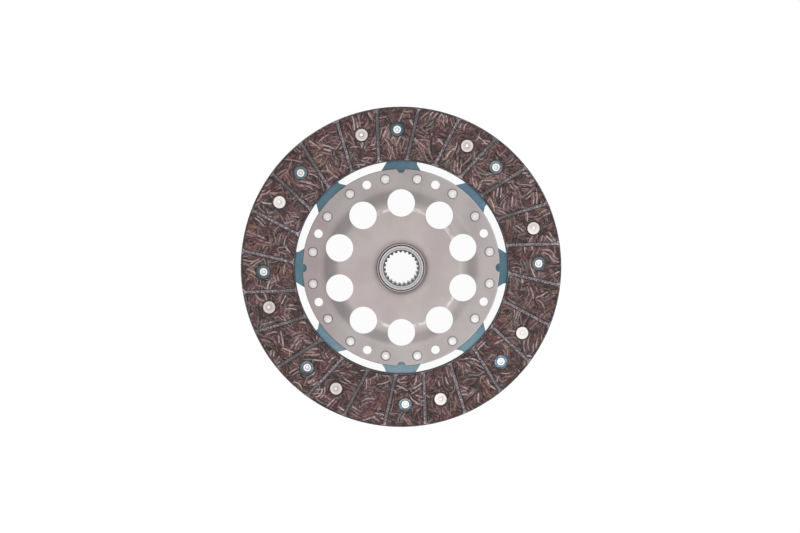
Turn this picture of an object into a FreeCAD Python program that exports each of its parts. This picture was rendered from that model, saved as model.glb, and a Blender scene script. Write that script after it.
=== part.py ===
import FreeCAD, Part
import math
import os

# Clutch friction disc with a rigid centre: a splined hub staked into a dished plate, eight blued
# cushion spring segments riveted behind the plate's rim, and a grooved friction lining riveted to
# each side of the segments.
#
# The frame: +Z is the disc's axis and points out of the front face. The origin is the centre of the
# hub's rear end, on which the disc rests. Angles run anticlockwise seen from the front, from +X.
# Sizes are in millimetres and angles in degrees.

# Friction linings
LINING_OUTER_RADIUS = 120.0
LINING_INNER_RADIUS = 80.0
LINING_THICKNESS = 3.5
GROOVES_PER_SEGMENT = 3
GROOVE_WIDTH = 1.9
GROOVE_DEPTH = 1.2
GROOVE_OFFSET = 14.3
GROOVE_ANGLE = 1.75
PAD_OUTER_SETBACK = 0.9
PAD_INNER_SETBACK = 0.5
PAD_CORNER_RADIUS = 2.4

# Cushion spring segments. Margins run in from the lining's edges, and laps and reaches run in and
# out from the hub plate's rim. A segment's leading side is its anticlockwise one.
SEGMENT_COUNT = 8
SEGMENT_THICKNESS = 0.8
CUSHION_TRAVEL = 0.7
PADDLE_ANGLE = 9.075
PADDLE_INNER_MARGIN = 5.5
PADDLE_OUTER_MARGIN = 2.5
PADDLE_GAP = 2.0
PADDLE_CORNER_RADIUS = 4.0
WAVE_BEND_RADIUS = 12.0
LAND_INNER_EDGE = 3.0
LAND_SLOPE_LENGTH = 5.0
LAND_OUTER_EDGE = 31.0
TIP_SLOPE_LENGTH = 8.0
FOOT_LAP = 13.0
FOOT_HALF_WIDTH = 18.0
FOOT_SHOULDER_LAP = 6.7
FOOT_TAPER_ANGLE = 31.7
FOOT_CORNER_RADIUS = 2.5
WAIST_LEADING_REACH = 4.8
WAIST_TRAILING_REACH = 3.0
WAIST_RADIUS = 3.0
NECK_FILLET_LEADING = 4.0
NECK_FILLET_TRAILING = 5.4
NECK_BEND_MARGIN = 0.5
NECK_BEND_LENGTH = 2.5

# Hub plate. Depths run in from its rim.
WINDOW_WIDTH = 6.0
PLATE_THICKNESS = 2.0
PLATE_EDGE_CHAMFER = 0.3
DISH_HEIGHT = 3.0
DISH_CREST_DEPTH = 26.4
DISH_FOOT_DEPTH = 15.8
CREST_BEND_RADIUS = 21.0
FOOT_BEND_RADIUS = 18.0
LARGE_HOLE_COUNT = 10
LARGE_HOLE_RADIUS = 10.25
LARGE_HOLE_DEPTH = 25.5
LARGE_HOLE_ANGLE = 18.0
SMALL_HOLE_RADIUS = 3.2
SMALL_HOLE_DEPTH = 7.0
ROUND_NOTCH_RADIUS = 3.3
ROUND_NOTCH_ANGLES = (0.0, 180.0, 270.0)
KEY_NOTCH_ANGLE = 90.0
KEY_NOTCH_HALF_WIDTH = 3.75
KEY_NOTCH_HALF_FLOOR = 1.5
KEY_NOTCH_DEPTH = 3.0
COIN_RADIUS = 20.2
COIN_DEPTH = 0.4

# Hub
HUB_LENGTH = 26.0
HUB_BARREL_RADIUS = 17.0
HUB_FLANGE_RADIUS = 24.0
HUB_FLANGE_THICKNESS = 3.5
HUB_FLANGE_FILLET = 3.0
HUB_SPIGOT_RADIUS = 17.6
HUB_SPIGOT_CLEARANCE = 0.05
HUB_NOSE_RADIUS = 16.4
HUB_NOSE_PROUD = 3.2
HUB_EDGE_CHAMFER = 0.5
LIP_RADIUS = 18.7
LIP_CREST_RADIUS = 17.9
LIP_HEIGHT = 1.0
STAKING_GROOVE_RADIUS = 17.2
STAKING_GROOVE_DEPTH = 1.1
FACE_GROOVE_INNER_RADIUS = 14.5
FACE_GROOVE_OUTER_RADIUS = 15.3
FACE_GROOVE_DEPTH = 0.2
SPLINE_TEETH = 23
SPLINE_TIP_RADIUS = 11.6
SPLINE_ROOT_RADIUS = 12.9
SPLINE_TIP_SPACE = 2.2
SPLINE_ROOT_SPACE = 1.1
SPLINE_ANGLE = 6.05
BORE_CHAMFER_RADIUS = 13.7

# Rivets
RIVET_HOLE_CLEARANCE = 0.05
PLATE_RIVET_DEPTH = 6.8
PLATE_RIVET_SPREAD = 10.21
PLATE_RIVET_SHANK_RADIUS = 2.5
PLATE_RIVET_HEAD_RADIUS = 3.8
PLATE_RIVET_HEAD_HEIGHT = 1.1
PLATE_RIVET_TAIL_RADIUS = 3.7
PLATE_RIVET_TAIL_HEIGHT = 1.3
PLATE_RIVET_ROUNDING = 0.6
LINING_RIVET_OFFSET = 3.3
FRONT_RIVET_ANGLE = 16.55
LINING_RIVET_SHANK_RADIUS = 2.4
LINING_RIVET_HEAD_RADIUS = 4.85
LINING_RIVET_HEAD_HEIGHT = 1.0
LINING_RIVET_DIMPLE_RADIUS = 1.1
LINING_RIVET_DIMPLE_DEPTH = 0.4
LINING_RIVET_TAIL_RADIUS = 3.2
LINING_RIVET_TAIL_HEIGHT = 1.1
LINING_RIVET_HOLLOW_RADIUS = 1.3
LINING_RIVET_HOLLOW_DEPTH = 1.5
LINING_RIVET_ROUNDING = 0.35
LINING_WEB = 1.4
COUNTERBORE_CLEARANCE = 0.35
TAIL_HOLE_RADIUS = 5.1

# Places that follow from the sizes above
PLATE_OUTER_RADIUS = LINING_INNER_RADIUS - WINDOW_WIDTH
DISH_CREST_RADIUS = PLATE_OUTER_RADIUS - DISH_CREST_DEPTH
DISH_FOOT_RADIUS = PLATE_OUTER_RADIUS - DISH_FOOT_DEPTH
LARGE_HOLE_CIRCLE = PLATE_OUTER_RADIUS - LARGE_HOLE_DEPTH
SMALL_HOLE_CIRCLE = PLATE_OUTER_RADIUS - SMALL_HOLE_DEPTH
PLATE_RIVET_CIRCLE = PLATE_OUTER_RADIUS - PLATE_RIVET_DEPTH
FOOT_INNER_RADIUS = PLATE_OUTER_RADIUS - FOOT_LAP
FOOT_SHOULDER = PLATE_OUTER_RADIUS - FOOT_SHOULDER_LAP
WAIST_LEADING = PLATE_OUTER_RADIUS + WAIST_LEADING_REACH
WAIST_TRAILING = PLATE_OUTER_RADIUS + WAIST_TRAILING_REACH
NECK_BEND_START = LINING_INNER_RADIUS + NECK_BEND_MARGIN
NECK_BEND_END = NECK_BEND_START + NECK_BEND_LENGTH
PADDLE_INNER_RADIUS = LINING_INNER_RADIUS + PADDLE_INNER_MARGIN
PADDLE_OUTER_RADIUS = LINING_OUTER_RADIUS - PADDLE_OUTER_MARGIN
LINING_RIVET_CIRCLE = (LINING_INNER_RADIUS + LINING_OUTER_RADIUS) / 2 + LINING_RIVET_OFFSET
SEGMENT_PITCH = 360.0 / SEGMENT_COUNT
GROOVE_PITCH = SEGMENT_PITCH / GROOVES_PER_SEGMENT
REAR_RIVET_ANGLE = 2 * PADDLE_ANGLE - FRONT_RIVET_ANGLE
PLATE_FRONT = HUB_LENGTH - HUB_NOSE_PROUD
PLATE_SEAT = PLATE_FRONT - PLATE_THICKNESS
RIM_REAR = PLATE_SEAT - DISH_HEIGHT
RIM_FRONT = RIM_REAR + PLATE_THICKNESS
MID_PLANE = RIM_REAR - SEGMENT_THICKNESS / 2
LINING_STANDOFF = (CUSHION_TRAVEL + SEGMENT_THICKNESS) / 2
PADDLE_PITCH_RADIUS = (PADDLE_INNER_RADIUS + PADDLE_OUTER_RADIUS) / 2

Vector = FreeCAD.Vector
AXIS = Vector(0, 0, 1)
CENTRE = Vector(0, 0, 0)
SAME_PLACE = 0.001


def polar(radius, angle, height=0.0):
    """The point at a radius, an angle in degrees and a height."""
    turn = math.radians(angle)
    return Vector(radius * math.cos(turn), radius * math.sin(turn), height)


def turned(shape, angle):
    """A copy of a shape, turned about the disc's axis."""
    copy = shape.copy()
    copy.rotate(CENTRE, AXIS, angle)
    return copy


def moved(shape, place):
    """A copy of a shape, moved by a vector."""
    copy = shape.copy()
    copy.translate(place)
    return copy


def turned_over(shape):
    """A copy of a front piece, turned over to the rear about the middle of segment 1's paddle."""
    copy = shape.copy()
    copy.rotate(Vector(0, 0, MID_PLANE), polar(1, PADDLE_ANGLE), 180)
    return copy


def line_face(points):
    """A flat face inside a closed outline of straight lines."""
    return Part.Face(Part.makePolygon(list(points) + [points[0]]))


def revolved(outline):
    """The solid of revolution of a closed outline of (radius, height) points."""
    face = line_face([Vector(radius, 0, height) for radius, height in outline])
    return face.revolve(CENTRE, AXIS, 360)


def bent_path(points, radii):
    """Edges of a path in the XZ plane through the points, with an arc at each inner point."""
    edges = []
    start = points[0]
    for before, corner, after, radius in zip(points, points[1:], points[2:], radii):
        towards = (before - corner).normalize()
        away = (after - corner).normalize()
        half_turn = (math.pi - towards.getAngle(away)) / 2
        reach = radius * math.tan(half_turn)
        first = corner + towards * reach
        last = corner + away * reach
        to_arc = radius / math.cos(half_turn) - radius
        middle = corner + (towards + away).normalize() * to_arc
        edges.append(Part.LineSegment(start, first).toShape())
        edges.append(Part.Arc(first, middle, last).toShape())
        start = last
    edges.append(Part.LineSegment(start, points[-1]).toShape())
    return edges


def bent_strip(points, radii, thickness):
    """The section of a bent sheet in the XZ plane, given its middle line and its bend radii."""
    runs = [(b - a).normalize() for a, b in zip(points, points[1:])]
    sides = []
    for offset in (thickness / 2, -thickness / 2):
        normals = [Vector(-run.z, 0, run.x) * offset for run in runs]
        shifted = [points[0] + normals[0]]
        side_radii = []
        for corner, run, after, normal, radius in zip(points[1:], runs, runs[1:], normals, radii):
            turn = math.atan2(run.x * after.z - run.z * after.x, run.dot(after))
            shifted.append(corner + normal + run * (-offset * math.tan(turn / 2)))
            side_radii.append(radius - math.copysign(offset, turn))
        shifted.append(points[-1] + normals[-1])
        sides.append((shifted, side_radii))
    upper, lower = sides
    edges = bent_path(*upper) + bent_path(*lower)
    edges.append(Part.LineSegment(upper[0][0], lower[0][0]).toShape())
    edges.append(Part.LineSegment(upper[0][-1], lower[0][-1]).toShape())
    return Part.Face(Part.Wire(Part.__sortEdges__(edges)))


def profile(pairs):
    """Points in the XZ plane from (distance, height) pairs."""
    return [Vector(distance, 0, height) for distance, height in pairs]


def ring(inner, outer, bottom, height):
    """A flat ring about the disc's axis."""
    disc = Part.makeCylinder(outer, height, Vector(0, 0, bottom))
    return disc.cut(Part.makeCylinder(inner, height, Vector(0, 0, bottom)))


def drill(radius, place, length):
    """A cylinder that rises from a place, for cutting a round hole."""
    return Part.makeCylinder(radius, length, place)


def upright_edges(shape, test):
    """The edges parallel to the disc's axis whose place passes a test of (radius, angle)."""
    found = []
    for edge in shape.Edges:
        ends = [vertex.Point for vertex in edge.Vertexes]
        if len(ends) == 2 and math.hypot(ends[0].x - ends[1].x, ends[0].y - ends[1].y) < SAME_PLACE:
            place = ends[0]
            if test(math.hypot(place.x, place.y), math.degrees(math.atan2(place.y, place.x))):
                found.append(edge)
    return found


def lining_pad():
    """The raised pad between two grooves, with its underside at height 0."""
    far = 2 * LINING_OUTER_RADIUS
    half_groove = GROOVE_WIDTH / 2
    corners = []
    for turn, side in ((0.0, half_groove), (GROOVE_PITCH, -half_groove)):
        along = polar(1, GROOVE_ANGLE + turn)
        across = polar(1, GROOVE_ANGLE + turn + 90)
        near_end = across * (GROOVE_OFFSET + side) + along * (LINING_INNER_RADIUS / 2)
        corners.append((near_end, across * (GROOVE_OFFSET + side) + along * far))
    (first_near, first_far), (last_near, last_far) = corners
    wedge = line_face([first_near, first_far, last_far, last_near])
    pad = ring(
        LINING_INNER_RADIUS + PAD_INNER_SETBACK,
        LINING_OUTER_RADIUS - PAD_OUTER_SETBACK,
        0,
        GROOVE_DEPTH,
    )
    pad = pad.common(wedge.extrude(AXIS * GROOVE_DEPTH)).Solids[0]
    return pad.makeFillet(PAD_CORNER_RADIUS, upright_edges(pad, lambda radius, angle: True))


def make_front_lining():
    """The front lining: a base ring, its pads, and a sunk hole or a tail hole at each rivet."""
    mating_face = MID_PLANE + LINING_STANDOFF
    pad_foot = mating_face + LINING_THICKNESS - GROOVE_DEPTH
    base = ring(
        LINING_INNER_RADIUS, LINING_OUTER_RADIUS, mating_face, LINING_THICKNESS - GROOVE_DEPTH
    )
    pad = moved(lining_pad(), Vector(0, 0, pad_foot))
    pads = [turned(pad, GROOVE_PITCH * i) for i in range(SEGMENT_COUNT * GROOVES_PER_SEGMENT)]
    cutters = []
    for i in range(SEGMENT_COUNT):
        sunk = polar(LINING_RIVET_CIRCLE, FRONT_RIVET_ANGLE + SEGMENT_PITCH * i, mating_face)
        open_hole = polar(LINING_RIVET_CIRCLE, REAR_RIVET_ANGLE + SEGMENT_PITCH * i, mating_face)
        hole_radius = LINING_RIVET_SHANK_RADIUS + RIVET_HOLE_CLEARANCE
        sink_radius = LINING_RIVET_HEAD_RADIUS + COUNTERBORE_CLEARANCE
        cutters.append(drill(hole_radius, sunk, LINING_THICKNESS))
        cutters.append(drill(sink_radius, sunk + AXIS * LINING_WEB, LINING_THICKNESS))
        cutters.append(drill(TAIL_HOLE_RADIUS, open_hole, LINING_THICKNESS))
    return base.multiFuse(pads).cut(cutters)


def paddle_outline():
    """The plan of segment 1's paddle, as an upright block."""
    half_span = SEGMENT_PITCH / 2 - math.degrees(PADDLE_GAP / 2 / PADDLE_PITCH_RADIUS)
    depth = 2 * LINING_THICKNESS
    sector = Part.makeCylinder(
        PADDLE_OUTER_RADIUS, depth, CENTRE, AXIS, 2 * half_span
    ).cut(Part.makeCylinder(PADDLE_INNER_RADIUS, depth))
    sector = sector.makeFillet(PADDLE_CORNER_RADIUS, upright_edges(sector, lambda r, a: True))
    return turned(sector, PADDLE_ANGLE - half_span)


def foot_outline():
    """The plan of segment 1's foot and neck, as an upright block that ends inside the paddle."""
    taper = math.tan(math.radians(FOOT_TAPER_ANGLE))
    inside = FOOT_INNER_RADIUS / 2
    neck_end = PADDLE_INNER_RADIUS + PADDLE_CORNER_RADIUS
    leading = FOOT_HALF_WIDTH - (WAIST_LEADING - FOOT_SHOULDER) * taper
    trailing = FOOT_HALF_WIDTH - (WAIST_TRAILING - FOOT_SHOULDER) * taper
    face = line_face([
        Vector(inside, -FOOT_HALF_WIDTH, 0),
        Vector(FOOT_SHOULDER, -FOOT_HALF_WIDTH, 0),
        Vector(WAIST_TRAILING, -trailing, 0),
        Vector(neck_end, -trailing, 0),
        Vector(neck_end, leading, 0),
        Vector(WAIST_LEADING, leading, 0),
        Vector(FOOT_SHOULDER, FOOT_HALF_WIDTH, 0),
        Vector(inside, FOOT_HALF_WIDTH, 0),
    ])
    depth = 2 * LINING_THICKNESS
    block = face.extrude(AXIS * depth).cut(Part.makeCylinder(FOOT_INNER_RADIUS, depth))
    foot_limit = (FOOT_SHOULDER + WAIST_TRAILING) / 2
    waist_limit = (WAIST_LEADING + neck_end) / 2
    foot_corners = upright_edges(block, lambda radius, angle: radius < foot_limit)
    block = block.makeFillet(FOOT_CORNER_RADIUS, foot_corners)
    waist = upright_edges(block, lambda radius, angle: WAIST_TRAILING < radius < waist_limit)
    return block.makeFillet(WAIST_RADIUS, waist)


def segment_outline():
    """The whole plan of segment 1, as an upright block with its neck blended into its paddle."""
    block = foot_outline().fuse(paddle_outline()).removeSplitter()

    def on_leading_side(radius, angle):
        return abs(radius - PADDLE_INNER_RADIUS) < SAME_PLACE and 0 < angle < SEGMENT_PITCH / 4

    def on_trailing_side(radius, angle):
        return abs(radius - PADDLE_INNER_RADIUS) < SAME_PLACE and -SEGMENT_PITCH / 4 < angle < 0

    block = block.makeFillet(NECK_FILLET_LEADING, upright_edges(block, on_leading_side))
    return block.makeFillet(NECK_FILLET_TRAILING, upright_edges(block, on_trailing_side))


def make_segment():
    """Segment 1: a flat foot, a neck that bends to the rear, and a paddle with two lands."""
    swing = CUSHION_TRAVEL / 2
    depth = 2 * LINING_THICKNESS
    outline = moved(segment_outline(), Vector(0, 0, MID_PLANE - depth / 2))
    beyond_tip = 2 * LAND_OUTER_EDGE

    # The foot and neck lie on the middle plane and bend to the rear land under the lining.
    join = NECK_BEND_END + SEGMENT_THICKNESS
    neck = bent_strip(
        profile([
            (FOOT_INNER_RADIUS / 2, MID_PLANE),
            (NECK_BEND_START, MID_PLANE),
            (NECK_BEND_END, MID_PLANE - swing),
            (join, MID_PLANE - swing),
        ]),
        [SEGMENT_THICKNESS, SEGMENT_THICKNESS],
        SEGMENT_THICKNESS,
    )
    neck = moved(neck.extrude(Vector(0, 2 * FOOT_HALF_WIDTH, 0)), Vector(0, -FOOT_HALF_WIDTH, 0))

    # The paddle's section runs clockwise along X, from the front land to the rear land.
    tip = LAND_OUTER_EDGE + TIP_SLOPE_LENGTH
    rear_edge = -LAND_INNER_EDGE
    front_edge = rear_edge - LAND_SLOPE_LENGTH
    paddle = bent_strip(
        profile([
            (-beyond_tip, MID_PLANE),
            (-tip, MID_PLANE),
            (-LAND_OUTER_EDGE, MID_PLANE + swing),
            (front_edge, MID_PLANE + swing),
            (rear_edge, MID_PLANE - swing),
            (LAND_OUTER_EDGE, MID_PLANE - swing),
            (tip, MID_PLANE),
            (beyond_tip, MID_PLANE),
        ]),
        [WAVE_BEND_RADIUS] * 6,
        SEGMENT_THICKNESS,
    )
    paddle = paddle.extrude(Vector(0, LINING_OUTER_RADIUS, 0))
    paddle = turned(paddle, PADDLE_ANGLE - 90)
    beside = Part.makeBox(
        NECK_BEND_END,
        2 * FOOT_HALF_WIDTH,
        depth,
        Vector(0, -FOOT_HALF_WIDTH, MID_PLANE - depth / 2),
    )
    sheet = neck.fuse(paddle.cut(beside))
    segment = sheet.common(outline).removeSplitter()

    cutters = []
    low = MID_PLANE - depth / 2
    for side in (-1, 1):
        place = polar(PLATE_RIVET_CIRCLE, side * PLATE_RIVET_SPREAD, low)
        cutters.append(drill(PLATE_RIVET_SHANK_RADIUS + RIVET_HOLE_CLEARANCE, place, depth))
    for angle in (REAR_RIVET_ANGLE, FRONT_RIVET_ANGLE):
        place = polar(LINING_RIVET_CIRCLE, angle, low)
        cutters.append(drill(LINING_RIVET_SHANK_RADIUS + RIVET_HOLE_CLEARANCE, place, depth))
    return segment.cut(cutters)


def notch_cutters():
    """The blocks that cut the notches in the hub plate's rim."""
    cutters = []
    height = 2 * PLATE_THICKNESS
    bottom = RIM_REAR - PLATE_THICKNESS / 2
    for angle in ROUND_NOTCH_ANGLES:
        cutters.append(drill(ROUND_NOTCH_RADIUS, polar(PLATE_OUTER_RADIUS, angle, bottom), height))
    floor = PLATE_OUTER_RADIUS - KEY_NOTCH_DEPTH
    slope = (KEY_NOTCH_HALF_WIDTH - KEY_NOTCH_HALF_FLOOR) / KEY_NOTCH_DEPTH
    beyond = KEY_NOTCH_HALF_WIDTH + slope * KEY_NOTCH_DEPTH
    key = line_face([
        Vector(floor, -KEY_NOTCH_HALF_FLOOR, bottom),
        Vector(PLATE_OUTER_RADIUS + KEY_NOTCH_DEPTH, -beyond, bottom),
        Vector(PLATE_OUTER_RADIUS + KEY_NOTCH_DEPTH, beyond, bottom),
        Vector(floor, KEY_NOTCH_HALF_FLOOR, bottom),
    ])
    cutters.append(turned(key.extrude(AXIS * height), KEY_NOTCH_ANGLE))
    return cutters


def make_hub_plate():
    """The hub plate: a raised centre, a sloping shoulder and a flat rim, with its holes."""
    half = PLATE_THICKNESS / 2
    bore = HUB_SPIGOT_RADIUS + HUB_SPIGOT_CLEARANCE
    section = bent_strip(
        profile([
            (bore, PLATE_SEAT + half),
            (DISH_CREST_RADIUS, PLATE_SEAT + half),
            (DISH_FOOT_RADIUS, RIM_REAR + half),
            (PLATE_OUTER_RADIUS, RIM_REAR + half),
        ]),
        [CREST_BEND_RADIUS, FOOT_BEND_RADIUS],
        PLATE_THICKNESS,
    )
    plate = section.revolve(CENTRE, AXIS, 360)
    rim_edges = []
    for edge in plate.Edges:
        at_rim = abs(edge.BoundBox.XMax - PLATE_OUTER_RADIUS) < SAME_PLACE
        if at_rim and edge.BoundBox.ZMin > RIM_FRONT - SAME_PLACE:
            rim_edges.append(edge)
    plate = plate.makeChamfer(PLATE_EDGE_CHAMFER, rim_edges)

    # Staking the hub's lip has coined a shallow cone into the plate's face.
    coin = revolved([
        (bore / 2, PLATE_FRONT - COIN_DEPTH),
        (LIP_RADIUS, PLATE_FRONT - COIN_DEPTH),
        (COIN_RADIUS, PLATE_FRONT),
        (COIN_RADIUS, PLATE_FRONT + half),
        (bore / 2, PLATE_FRONT + half),
    ])
    height = PLATE_FRONT - RIM_REAR + 2 * half
    bottom = RIM_REAR - half
    cutters = [coin] + notch_cutters()
    for i in range(LARGE_HOLE_COUNT):
        angle = LARGE_HOLE_ANGLE + 360.0 / LARGE_HOLE_COUNT * i
        cutters.append(drill(LARGE_HOLE_RADIUS, polar(LARGE_HOLE_CIRCLE, angle, bottom), height))
    for i in range(SEGMENT_COUNT):
        between = SEGMENT_PITCH * (i + 0.5)
        place = polar(SMALL_HOLE_CIRCLE, between, bottom)
        cutters.append(drill(SMALL_HOLE_RADIUS, place, height))
        for side in (-1, 1):
            angle = SEGMENT_PITCH * i + side * PLATE_RIVET_SPREAD
            place = polar(PLATE_RIVET_CIRCLE, angle, bottom)
            cutters.append(drill(PLATE_RIVET_SHANK_RADIUS + RIVET_HOLE_CLEARANCE, place, height))
    return plate.cut(cutters)


def spline_gap():
    """The block that cuts the space between two spline teeth, centred on +X."""
    slope = (SPLINE_TIP_SPACE - SPLINE_ROOT_SPACE) / 2 / (SPLINE_ROOT_RADIUS - SPLINE_TIP_RADIUS)
    inside = 2 * SPLINE_TIP_RADIUS - SPLINE_ROOT_RADIUS
    inside_half = SPLINE_TIP_SPACE / 2 + slope * (SPLINE_TIP_RADIUS - inside)
    root_half = SPLINE_ROOT_SPACE / 2
    root_x = math.sqrt(SPLINE_ROOT_RADIUS ** 2 - root_half ** 2)
    lower = Vector(root_x, -root_half, 0)
    upper = Vector(root_x, root_half, 0)
    near_lower = Vector(inside, -inside_half, 0)
    near_upper = Vector(inside, inside_half, 0)
    edges = [
        Part.LineSegment(near_lower, lower).toShape(),
        Part.Arc(lower, Vector(SPLINE_ROOT_RADIUS, 0, 0), upper).toShape(),
        Part.LineSegment(upper, near_upper).toShape(),
        Part.LineSegment(near_upper, near_lower).toShape(),
    ]
    return Part.Face(Part.Wire(edges)).extrude(AXIS * HUB_LENGTH)


def make_hub():
    """The hub: a barrel, a flange behind the plate, a spigot, a staked lip and a nose."""
    bore_lead = BORE_CHAMFER_RADIUS - SPLINE_TIP_RADIUS
    lip_foot = PLATE_FRONT - COIN_DEPTH
    lip_top = lip_foot + LIP_HEIGHT
    flange_rear = PLATE_SEAT - HUB_FLANGE_THICKNESS
    groove_floor = HUB_LENGTH - FACE_GROOVE_DEPTH
    hub = revolved([
        (SPLINE_TIP_RADIUS, bore_lead),
        (BORE_CHAMFER_RADIUS, 0),
        (HUB_BARREL_RADIUS - HUB_EDGE_CHAMFER, 0),
        (HUB_BARREL_RADIUS, HUB_EDGE_CHAMFER),
        (HUB_BARREL_RADIUS, flange_rear - HUB_FLANGE_FILLET),
        (HUB_BARREL_RADIUS + HUB_FLANGE_FILLET, flange_rear),
        (HUB_FLANGE_RADIUS - HUB_EDGE_CHAMFER, flange_rear),
        (HUB_FLANGE_RADIUS, flange_rear + HUB_EDGE_CHAMFER),
        (HUB_FLANGE_RADIUS, PLATE_SEAT),
        (HUB_SPIGOT_RADIUS, PLATE_SEAT),
        (HUB_SPIGOT_RADIUS, lip_foot),
        (LIP_RADIUS, lip_foot),
        (LIP_CREST_RADIUS, lip_top),
        (STAKING_GROOVE_RADIUS, lip_top),
        (HUB_NOSE_RADIUS, lip_top - STAKING_GROOVE_DEPTH),
        (HUB_NOSE_RADIUS, HUB_LENGTH - HUB_EDGE_CHAMFER),
        (HUB_NOSE_RADIUS - HUB_EDGE_CHAMFER, HUB_LENGTH),
        (FACE_GROOVE_OUTER_RADIUS, HUB_LENGTH),
        (FACE_GROOVE_OUTER_RADIUS, groove_floor),
        (FACE_GROOVE_INNER_RADIUS, groove_floor),
        (FACE_GROOVE_INNER_RADIUS, HUB_LENGTH),
        (BORE_CHAMFER_RADIUS, HUB_LENGTH),
        (SPLINE_TIP_RADIUS, HUB_LENGTH - bore_lead),
    ])
    pitch = 360.0 / SPLINE_TEETH
    gap = spline_gap()
    return hub.cut([turned(gap, SPLINE_ANGLE + pitch * i) for i in range(SPLINE_TEETH)])


def make_plate_rivets():
    """The rivets through the hub plate's rim and the segments' feet."""
    front = RIM_FRONT
    rear = RIM_REAR - SEGMENT_THICKNESS
    rivet = revolved([
        (0, front + PLATE_RIVET_HEAD_HEIGHT),
        (PLATE_RIVET_HEAD_RADIUS - PLATE_RIVET_ROUNDING, front + PLATE_RIVET_HEAD_HEIGHT),
        (PLATE_RIVET_HEAD_RADIUS, front + PLATE_RIVET_HEAD_HEIGHT - PLATE_RIVET_ROUNDING),
        (PLATE_RIVET_HEAD_RADIUS, front),
        (PLATE_RIVET_SHANK_RADIUS, front),
        (PLATE_RIVET_SHANK_RADIUS, rear),
        (PLATE_RIVET_TAIL_RADIUS, rear),
        (PLATE_RIVET_TAIL_RADIUS - PLATE_RIVET_ROUNDING, rear - PLATE_RIVET_TAIL_HEIGHT),
        (0, rear - PLATE_RIVET_TAIL_HEIGHT),
    ])
    rivets = []
    for i in range(SEGMENT_COUNT):
        for side in (-1, 1):
            angle = SEGMENT_PITCH * i + side * PLATE_RIVET_SPREAD
            rivets.append(moved(rivet, polar(PLATE_RIVET_CIRCLE, angle)))
    return Part.makeCompound(rivets)


def make_front_lining_rivets():
    """The rivets through the front lining, with their closed ends behind the segments."""
    seat = MID_PLANE + LINING_STANDOFF + LINING_WEB
    grip_end = MID_PLANE + LINING_STANDOFF - SEGMENT_THICKNESS
    head_top = seat + LINING_RIVET_HEAD_HEIGHT
    tail_end = grip_end - LINING_RIVET_TAIL_HEIGHT
    rivet = revolved([
        (0, head_top - LINING_RIVET_DIMPLE_DEPTH),
        (LINING_RIVET_DIMPLE_RADIUS, head_top),
        (LINING_RIVET_HEAD_RADIUS - LINING_RIVET_ROUNDING, head_top),
        (LINING_RIVET_HEAD_RADIUS, head_top - LINING_RIVET_ROUNDING),
        (LINING_RIVET_HEAD_RADIUS, seat),
        (LINING_RIVET_SHANK_RADIUS, seat),
        (LINING_RIVET_SHANK_RADIUS, grip_end),
        (LINING_RIVET_TAIL_RADIUS, grip_end),
        (LINING_RIVET_TAIL_RADIUS, grip_end - LINING_RIVET_TAIL_HEIGHT / 2),
        (LINING_RIVET_HOLLOW_RADIUS + LINING_RIVET_ROUNDING, tail_end),
        (LINING_RIVET_HOLLOW_RADIUS, tail_end + LINING_RIVET_ROUNDING),
        (LINING_RIVET_HOLLOW_RADIUS, tail_end + LINING_RIVET_HOLLOW_DEPTH),
        (0, tail_end + LINING_RIVET_HOLLOW_DEPTH),
    ])
    angles = [FRONT_RIVET_ANGLE + SEGMENT_PITCH * i for i in range(SEGMENT_COUNT)]
    return Part.makeCompound([moved(rivet, polar(LINING_RIVET_CIRCLE, angle)) for angle in angles])


def main():
    """Makes every piece and writes one STEP file for each node."""
    front_lining = make_front_lining()
    front_lining_rivets = make_front_lining_rivets()
    segment = make_segment()
    pieces = {
        "hub": make_hub(),
        "hub_plate": make_hub_plate(),
        "front_lining": front_lining,
        "rear_lining": turned_over(front_lining),
        "plate_rivets": make_plate_rivets(),
        "front_lining_rivets": front_lining_rivets,
        "rear_lining_rivets": turned_over(front_lining_rivets),
    }
    for i in range(SEGMENT_COUNT):
        pieces["cushion_segment_%d" % (i + 1)] = turned(segment, SEGMENT_PITCH * i)
    os.makedirs("parts", exist_ok=True)
    for name, shape in pieces.items():
        shape.exportStep(os.path.join("parts", name + ".step"))
        print(name, len(shape.Solids), "solids", round(shape.Volume), "mm3", shape.isValid())


main()
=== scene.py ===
import math

import bpy
import numpy as np
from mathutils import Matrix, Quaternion, Vector


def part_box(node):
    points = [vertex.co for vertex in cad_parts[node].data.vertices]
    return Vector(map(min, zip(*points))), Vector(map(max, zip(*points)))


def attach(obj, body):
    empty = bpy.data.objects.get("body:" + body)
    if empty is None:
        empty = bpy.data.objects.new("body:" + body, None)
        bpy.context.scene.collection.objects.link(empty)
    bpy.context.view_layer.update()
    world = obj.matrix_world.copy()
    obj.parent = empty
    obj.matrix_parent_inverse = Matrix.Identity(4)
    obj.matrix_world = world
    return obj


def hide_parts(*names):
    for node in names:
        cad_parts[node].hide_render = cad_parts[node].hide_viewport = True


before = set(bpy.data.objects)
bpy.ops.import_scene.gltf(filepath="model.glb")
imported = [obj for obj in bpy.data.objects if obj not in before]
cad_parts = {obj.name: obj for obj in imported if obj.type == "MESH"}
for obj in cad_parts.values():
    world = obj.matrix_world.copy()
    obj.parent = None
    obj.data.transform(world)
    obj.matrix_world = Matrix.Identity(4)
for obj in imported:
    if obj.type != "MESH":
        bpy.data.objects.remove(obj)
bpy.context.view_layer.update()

# The looks of a clutch friction disc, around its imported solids. Lengths are in metres, noise scales
# per metre and angles in degrees, anticlockwise from +X as the front is seen, unless a name or a
# comment says otherwise.

MM = 0.001

# Camera, from a fit of the disc's holes, rivets and edges in the photograph
CAMERA_DISTANCE = 0.800
CAMERA_LENS_MM = 46.87
CAMERA_SENSOR_MM = 36.0
DISC_TURN = (2.40, 0.60, 0.11)
DISC_OFFSET = (0.00075, -0.00012)

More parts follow.
